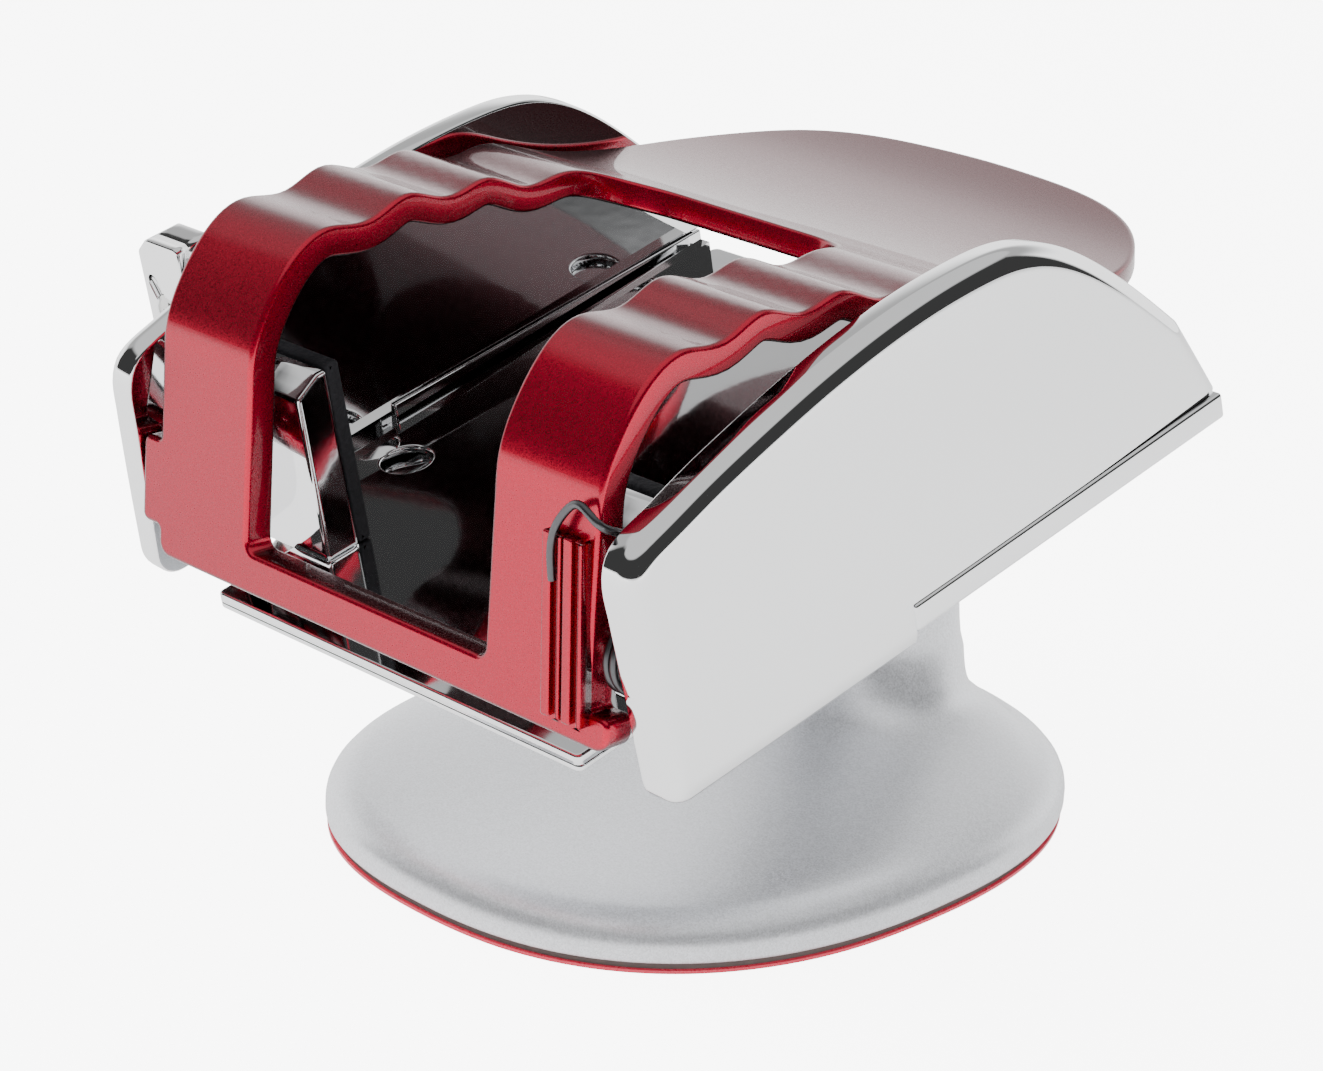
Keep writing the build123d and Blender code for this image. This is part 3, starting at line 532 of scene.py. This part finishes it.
under_pad = sheet_mesh([under_pad_loop], lambda u, v, d: cradle(u, v, d - 1.5), 1.6, 0.3,
                       spacing=5.0, back_edge=0.0)
tray = link_mesh("tray_chromed", *join_meshes(upper_floor, lower_floor, *rails, under_pad))
tray_chrome = finish("tray_chrome", (0.86, 0.865, 0.875), 1.0, handling, 90.0, 1.0, (0.03, 0.11), tint=0.05,
                     bump=0.06, bump_distance=0.0004)
tray.data.materials.append(tray_chrome)
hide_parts("tray")
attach(tray, "cradle")

# ---------------------------------------------------------------- wings
# Each side wing is a hollow chromed cover with a crowned outer face and a broad rounded edge, on a
# flat liner. It leans inwards a little and rests on the tray's rail along its rear half.
lean = radians(4.6)
wing_foot_x, wing_thickness, wing_step = 34.3, 4.4, 5.3


def smooth_path(points, step):
    """Points at even steps along a natural cubic spline through the given points."""
    points = np.array(points, dtype=float)
    knots = np.concatenate(([0], np.cumsum(np.linalg.norm(np.diff(points, axis=0), axis=1))))
    gaps = np.diff(knots)
    count = len(points)
    system = np.zeros((count, count))
    sides = np.zeros((count, points.shape[1]))
    system[0, 0] = system[-1, -1] = 1
    for i in range(1, count - 1):
        system[i, i - 1:i + 2] = gaps[i - 1], 2 * (gaps[i - 1] + gaps[i]), gaps[i]
        sides[i] = 6 * ((points[i + 1] - points[i]) / gaps[i] - (points[i] - points[i - 1]) / gaps[i - 1])
    bend = np.linalg.solve(system, sides)
    even = []
    for where in np.linspace(0, knots[-1], ceil(knots[-1] / step) + 1):
        i = min(int(np.searchsorted(knots, where, side="right")) - 1, count - 2)
        a, b, gap = knots[i + 1] - where, where - knots[i], gaps[i]
        even.append(
            (bend[i] * a**3 + bend[i + 1] * b**3) / (6 * gap)
            + (points[i] / gap - bend[i] * gap / 6) * a
            + (points[i + 1] / gap - bend[i + 1] * gap / 6) * b
        )
    return [tuple(p) for p in even]


rim = smooth_path([
    (-0.4, 18.0), (-0.4, 20.0), (-0.4, 22.0), (0.7, 25.0), (4.8, 26.8), (10.6, 28.3), (17.2, 29.7), (25.8, 31.2),
    (34.7, 32.2), (41.5, 32.5), (48.0, 32.3), (53.4, 31.6), (58.0, 30.0), (66.7, 23.6), (75.3, 14.4)], 0.9)
corners = [(-0.4, 0.0, 3.0), (82.4, 0.0, 3.0)] + [(y, z, 0) for y, z in reversed(rim)]
wing_loop = rounded_loop(corners, 0.9)


def wing_place(side):
    """The map from a wing's side view to the cradle, with its crown and its lean, for one side."""
    def place(y, z, depth):
        crown = 0.55 * ((y - 38.0) / 42.0) ** 2 + 0.75 * ((z - 13.0) / 19.0) ** 2
        share = 1 - depth / wing_thickness
        out = wing_thickness - depth - crown * share * 0.9
        x = wing_foot_x - z * sin(lean) + out * cos(lean)
        return cradle(side * x, y, z * cos(lean) + out * sin(lean))
    return place


def cut_away(piece, corners):
    """Cuts a box, given by its eight corners, out of a piece."""
    sides = [(0, 1, 3, 2), (4, 6, 7, 5), (0, 4, 5, 1), (2, 3, 7, 6), (0, 2, 6, 4), (1, 5, 7, 3)]
    cutter = link_mesh("cutter", corners, sides, smooth=False)
    carve = piece.modifiers.new("carve", "BOOLEAN")
    carve.operation = "DIFFERENCE"
    carve.solver = "EXACT"
    carve.object = cutter
    shape = bpy.data.meshes.new_from_object(piece.evaluated_get(bpy.context.evaluated_depsgraph_get()))
    piece.modifiers.clear()
    piece.data = shape
    bpy.data.objects.remove(cutter)
    shape.set_sharp_from_angle(angle=radians(35))


wing_chrome = finish("wing_chrome", (0.88, 0.885, 0.89), 1.0, handling, 60.0, 1.0, (0.02, 0.09), tint=0.04,
                     bump=0.05, bump_distance=0.0005)
for side, hand in ((1, "right"), (-1, "left")):
    cover = link_mesh(f"{hand}_wing", *sheet_mesh([wing_loop], wing_place(side), wing_thickness, 2.1,
                                                  spacing=2.0, back_edge=0.35, turns=8))
    notch_corners = [cradle(side * x, y, z)
                     for x in (28, 44) for y in (rail_start, 95) for z in (-6, wing_step)]
    cut_away(cover, notch_corners)
    cover.data.materials.append(wing_chrome)
    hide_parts(f"{hand}_wing_cover", f"{hand}_wing_liner")
    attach(cover, "cradle")
dress("wing_screws", screw_steel)
strip_chrome = finish("strip_chrome", (0.9, 0.9, 0.9), 1.0, handling, 200.0, 1.0, (0.04, 0.12), tint=0.05)
dress("right_rail_strip", strip_chrome)
dress("left_rail_strip", strip_chrome)

# ---------------------------------------------------------------- foot posts and pads
# Two chromed posts at the lower end of the tray hold the phone's lower edge. Their tops slope to the
# front and their backs are faced with soft black foam.
post_inner, post_outer, post_front, post_depth, post_top = 19.9, 31.6, 10.0, 4.2, 21.8
pad_thickness = 1.6
post_chrome = finish("post_chrome", (0.87, 0.875, 0.885), 1.0, handling, 160.0, 1.0, (0.02, 0.10), tint=0.05,
                     bump=0.05, bump_distance=0.0003)
black_foam = finish("black_foam", (0.012, 0.012, 0.014), 0.0, handling, 1500.0, 1.0, (0.85, 1.0), tint=2.0,
                    bump=0.8, bump_distance=0.0003)
for side, hand in ((1, "right"), (-1, "left")):
    back = post_front + post_depth
    corners = [
        (post_front, floor_thickness, 0), (back, floor_thickness, 0), (back, post_top, 0.45),
        (back - 1.2, post_top, 0.9), (post_front, post_top - 1.6, 0.6),
    ]
    post = link_mesh(f"{hand}_post", *sheet_mesh(
        [rounded_loop(corners, 1.0)], lambda u, v, d, side=side: cradle(side * (post_outer - d), u, v),
        post_outer - post_inner, 0.45, spacing=1.5))
    post.data.materials.append(post_chrome)
    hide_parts(f"{hand}_foot_post")
    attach(post, "cradle")
    corners = [
        (back, floor_thickness + 0.1, 0.3), (back + pad_thickness, floor_thickness + 0.1, 0.4),
        (back + pad_thickness, post_top + 0.4, 0.5), (back, post_top + 0.4, 0.3),
    ]
    pad = link_mesh(f"{hand}_pad", *sheet_mesh(
        [rounded_loop(corners, 0.5)], lambda u, v, d, side=side: cradle(side * (post_outer - d), u, v),
        post_outer - post_inner, 0.3, spacing=0.7))
    pad.data.materials.append(black_foam)
    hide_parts(f"{hand}_foot_pad")
    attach(pad, "cradle")
dress("post_screws", screw_steel)

# ---------------------------------------------------------------- clamp
# The red clamp is one moulding: an upright front wall, two waved arms with a window between them and
# a broad tongue behind, in candy-red metallic lacquer. It hinges on two pins near its lower edge.
wall_points = [(-1.7 + (h - 10.2) * 0.28, h) for h in (6.2, 9.0, 12.0, 15.0, 18.0, 21.0, 23.5)]
clamp_curve = smooth_path(
    wall_points + [
        (2.6, 25.6), (3.4, 28.3), (6.8, 33.2), (15.4, 37.4), (20.4, 36.0), (25.4, 36.6), (31.0, 34.1),
        (35.6, 34.0), (41.0, 30.9), (45.3, 30.4), (52.4, 27.1), (62.0, 22.6), (71.0, 19.8), (80.0, 18.1),
        (90.5, 17.2),
    ], 0.35)
clamp_line = np.array(clamp_curve)
clamp_runs = np.concatenate(([0], np.cumsum(np.linalg.norm(np.diff(clamp_line, axis=0), axis=1))))
clamp_length = clamp_runs[-1]
clamp_tangent = np.gradient(clamp_line, clamp_runs, axis=0)
clamp_tangent /= np.linalg.norm(clamp_tangent, axis=1)[:, None]


def along_clamp(y):
    """How far along the clamp's side view it reaches a given y."""
    return float(np.interp(y, clamp_line[:, 0], clamp_runs))


def up_clamp(height):
    """How far along the front wall a given height is."""
    return (height - 6.2) * hypot(1, 0.28)


def clamp_place(s, x, depth):
    y, z = (float(np.interp(s, clamp_runs, clamp_line[:, k])) for k in (0, 1))
    ty, tz = (float(np.interp(s, clamp_runs, clamp_tangent[:, k])) for k in (0, 1))
    depth *= 1 - 0.3 * s / clamp_length
    return cradle(x, y + tz * depth, z - ty * depth)


arm_outer, ear_outer, window_half = 30.0, 32.6, 16.7
tongue_plan = [(44, 30.0), (50, 30.4), (57, 31.2), (66, 31.6), (73.5, 30.8), (79.5, 28.0), (85.2, 22.6),
               (88.6, 14.6), (89.6, 7.6), (89.95, 0.0)]
tongue_side = [(along_clamp(y), x) for y, x in tongue_plan]
tongue = smooth_path([(s, -x) for s, x in tongue_side[:-1]] + tongue_side[::-1], 0.9)
corners = [
    (0.0, -arm_outer, 1.6), (up_clamp(9.0), -arm_outer, 0.5), (up_clamp(9.0), -ear_outer, 0.9),
    (up_clamp(17.6), -ear_outer, 0.9), (up_clamp(17.6), -arm_outer, 0.5),
]
corners += [(s, x, 0) for s, x in tongue]
corners += [(up_clamp(9.4), arm_outer, 0.5), (up_clamp(9.4), ear_outer, 0.9), (0.0, ear_outer, 1.8)]
clamp_loop = rounded_loop(corners, 0.9)
window_low, window_high = up_clamp(10.2), along_clamp(53.8)
window_loop = backwards(rounded_loop([
    (window_low, -window_half, 1.2), (window_high, -window_half, 8.0), (window_high, window_half, 8.0),
    (window_low, window_half, 1.2)], 0.8))
clamp_depths = []


def noted_place(s, x, depth):
    """As clamp_place, and keeps each vertex's depth, which tells the inner faces from the outer."""
    clamp_depths.append(depth)
    return clamp_place(s, x, depth)


clamp_body = sheet_mesh([clamp_loop, window_loop], noted_place, 3.4, 0.5, spacing=1.5, turns=5)
rib_low, rib_high = 2.1, 19.1
rib_walls = []
for rib_x in (26.0, 28.6):
    for wall_x, half in ((-0.62, 0.53), (0.93, 0.22)):
        def rib_place(u, v, depth, rib_x=rib_x, wall_x=wall_x):
            across = rib_x + wall_x + v + ((rib_low + rib_high) / 2 - u) * np.tan(radians(4.0))
            return clamp_place(u, across, depth - 1.3)
        rib_loop = rounded_loop([
            (rib_low, -half, 0.28), (rib_high, -half, 0.28), (rib_high, half, 0.28), (rib_low, half, 0.28)], 0.6)
        rib_walls.append(sheet_mesh([rib_loop], rib_place, 1.6, 0.2, spacing=0.6, back_edge=0.0, turns=3))


def turned(profile, steps, place):
    """A solid of revolution: profile is (along, radius) and place maps (along, across, up)."""
    vertices, faces = [], []
    for along, radius in profile:
        for k in range(steps):
            vertices.append(place(along, radius * cos(2 * pi * k / steps), radius * sin(2 * pi * k / steps)))
    for r in range(len(profile) - 1):
        here, ahead = r * steps, (r + 1) * steps
        faces += [(here + k, here + (k + 1) % steps, ahead + (k + 1) % steps, ahead + k) for k in range(steps)]
    faces += [tuple(range(steps)), tuple(range(len(vertices) - steps, len(vertices)))]
    return vertices, faces


hinge_y, hinge_z = 3.4, 13.1
bosses = [
    turned([(low, 1.6), (low, 3.2), (low + 0.4, 3.6), (high - 0.4, 3.6), (high, 3.2), (high, 1.6)], 40,
           lambda a, b, c: cradle(a, hinge_y + b, hinge_z + c))
    for low, high in ((-32.4, -23.0), (23.0, 29.9))
]
clamp = link_mesh("clamp_lacquered", *join_meshes(clamp_body, *rib_walls, *bosses))
red_lacquer = finish("red_lacquer", (0.48, 0.004, 0.03), 0.92, flake, 9000.0, 1.0, (0.24, 0.36), tint=0.3,
                     coat=0.6, coat_roughness=0.03, bump=0.04, bump_distance=0.00004)
# Painted shade: the lacquer's colour is darkened towards grazing angles of view, and nearly to black on the
# clamp's inner faces, where shade falls.
candy = red_lacquer.node_tree
body = candy.nodes["Principled BSDF"]
facing = candy.nodes.new("ShaderNodeLayerWeight")
grazing_shade = candy.nodes.new("ShaderNodeMapRange")
grazing_shade.inputs["From Min"].default_value = 0.24
grazing_shade.inputs["From Max"].default_value = 0.62
grazing_shade.inputs["To Max"].default_value = 0.84
candy.links.new(facing.outputs["Facing"], grazing_shade.inputs["Value"])
# Reads the painted shade of the clamp's inner faces from the mesh.
painted_inner_shade = candy.nodes.new("ShaderNodeAttribute")
painted_inner_shade.attribute_name = "painted_inner_shade"
painted_shade_mask = candy.nodes.new("ShaderNodeMath")
painted_shade_mask.operation = "MAXIMUM"
candy.links.new(grazing_shade.outputs["Result"], painted_shade_mask.inputs[0])
candy.links.new(painted_inner_shade.outputs["Fac"], painted_shade_mask.inputs[1])
# This mix paints the shade: it takes the lacquer's colour towards a near-black red as the shade mask rises.
tone = candy.nodes.new("ShaderNodeMix")
tone.data_type = "RGBA"
candy.links.new(painted_shade_mask.outputs[0], tone.inputs["Factor"])
candy.links.new(body.inputs["Base Color"].links[0].from_socket, tone.inputs["A"])
tone.inputs["B"].default_value = (0.016, 0.001, 0.003, 1)
candy.links.new(tone.outputs["Result"], body.inputs["Base Color"])
# Painted shade on the inner faces: vertices deeper than the inner depth carry a value that mixes the lacquer
# almost to black.
inner_depth, inner_shade_strength = 3.1, 0.97
inner_shade_layer = clamp.data.attributes.new("painted_inner_shade", "FLOAT", "POINT")
inner_shade_values = [inner_shade_strength if depth > inner_depth else 0.0 for depth in clamp_depths]
inner_shade_values += [0.0] * (len(clamp.data.vertices) - len(clamp_depths))
inner_shade_layer.data.foreach_set("value", inner_shade_values)
clamp.data.materials.append(red_lacquer)
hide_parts("clamp")
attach(clamp, "clamp")
dress("right_hinge_pin", screw_steel)
dress("left_hinge_pin", screw_steel)

# ---------------------------------------------------------------- clamp spring
# A torsion spring of dark drawn wire on the right pin. Its leg climbs beside the arm, hooks round
# the arm's edge and ends in the groove of the inner rib.
wire_radius, coil_radius, coil_pitch, coil_turns = 0.4, 3.3, 0.85, 2
coil_x = 30.75
leg_x = coil_x + coil_pitch * coil_turns
wire_points = [(coil_x, hinge_y + coil_radius, hinge_z - drop) for drop in (6.4, 4.4, 2.4, 1.0)]
for k in range(coil_turns * 16 + 1):
    turn = 2 * pi * k / 16
    wire_points.append((
        coil_x + coil_pitch * k / 16, hinge_y + coil_radius * cos(turn), hinge_z + coil_radius * sin(turn)))
wire_points += [
    (leg_x, hinge_y + coil_radius, hinge_z + 1.6), (leg_x, hinge_y + coil_radius, 17.0),
    (leg_x - 0.1, 6.5, 18.8), (32.0, 5.8, 21.6), (31.7, 4.8, 24.2), (31.5, 3.6, 25.6), (31.3, 2.4, 26.4),
    (30.9, 1.8, 27.2), (30.0, 1.8, 27.9), (29.0, 2.0, 28.3), (27.9, 2.1, 28.1), (26.9, 1.8, 27.1),
    (26.0, 1.4, 25.8), (25.5, 1.0, 24.3), (25.5, 0.5, 22.4), (25.7, 0.2, 20.6),
]
wire_curve = bpy.data.curves.new("clamp_spring_wire", "CURVE")
wire_curve.dimensions = "3D"
wire_line = wire_curve.splines.new("NURBS")
wire_line.points.add(len(wire_points) - 1)
for point, here in zip(wire_line.points, wire_points):
    point.co = (*cradle(*here), 1)
wire_line.order_u = 3
wire_line.use_endpoint_u = True
wire_curve.resolution_u = 8
wire_curve.bevel_depth = wire_radius / 1000
wire_curve.bevel_resolution = 4
wire_curve.use_fill_caps = True
spring = bpy.data.objects.new("clamp_spring_wire", wire_curve)
bpy.context.collection.objects.link(spring)
spring_wire = finish("spring_wire", (0.10, 0.10, 0.105), 1.0, handling, 1500.0, 1.0, (0.3, 0.55), tint=0.6)
wire_curve.materials.append(spring_wire)
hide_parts("clamp_spring")
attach(spring, "clamp")

# ---------------------------------------------------------------- release lever
# A small chromed rocker on a bracket outside the left wing. A shallow round seat and a slanting slot
# are milled in its front face, and a crossed screw holds it.
lever_inner, lever_outer, lever_front, lever_depth = 39.2, 45.8, 12.9, 4.6
lever_bottom, lever_top, lever_pivot_x, lever_pivot_z = 12.0, 30.2, 42.6, 22.0
corners = [
    (-lever_inner - 1.0, lever_bottom, 0.4), (-lever_inner, lever_bottom + 2, 0.5),
    (-lever_inner, lever_top, 0.6), (-lever_outer + 1.6, lever_top, 0.8), (-lever_outer, lever_top - 1.6, 0.8),
    (-lever_outer, lever_bottom + 2, 0.8), (-lever_outer + 2, lever_bottom, 0.6),
]
lever_loop = rounded_loop(corners, 0.8)
seat_radius, slot_half, slot_reach = 1.9, 0.75, 3.8
keyhole = []
open_turn = radians(118)
half_mouth = float(np.arcsin(slot_half / seat_radius))
for k in range(31):
    turn = open_turn + half_mouth + (2 * pi - 2 * half_mouth) * k / 30
    keyhole.append((seat_radius * cos(turn), seat_radius * sin(turn)))
for k in range(9):
    turn = open_turn - pi / 2 + pi * k / 8
    keyhole.append((
        slot_reach * cos(open_turn) + slot_half * cos(turn), slot_reach * sin(open_turn) + slot_half * sin(turn)))
keyhole = backwards(rounded_loop([(u - lever_pivot_x, v + lever_pivot_z, 0) for u, v in keyhole], 0.5))
milled_depth = 1.6
lever_face = sheet_mesh([lever_loop, keyhole], lambda u, v, d: cradle(u, lever_front + d, v),
                        milled_depth, 0.25, spacing=1.0, back_edge=0.0)
lever_back = sheet_mesh([lever_loop], lambda u, v, d: cradle(u, lever_front + lever_depth - d, v),
                        lever_depth - milled_depth, 0.3, spacing=1.5, back_edge=0.0)
lever = link_mesh("lever_chromed", *join_meshes(lever_face, lever_back))
lever_chrome = finish("lever_chrome", (0.88, 0.88, 0.885), 1.0, handling, 250.0, 1.0, (0.05, 0.16), tint=0.05,
                      bump=0.05, bump_distance=0.0002)
lever.data.materials.append(lever_chrome)
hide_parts("release_lever")
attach(lever, "lever")
dress("lever_bracket", lever_chrome)
dress("lever_screw", screw_steel)
dress("lever_spring", spring_wire)
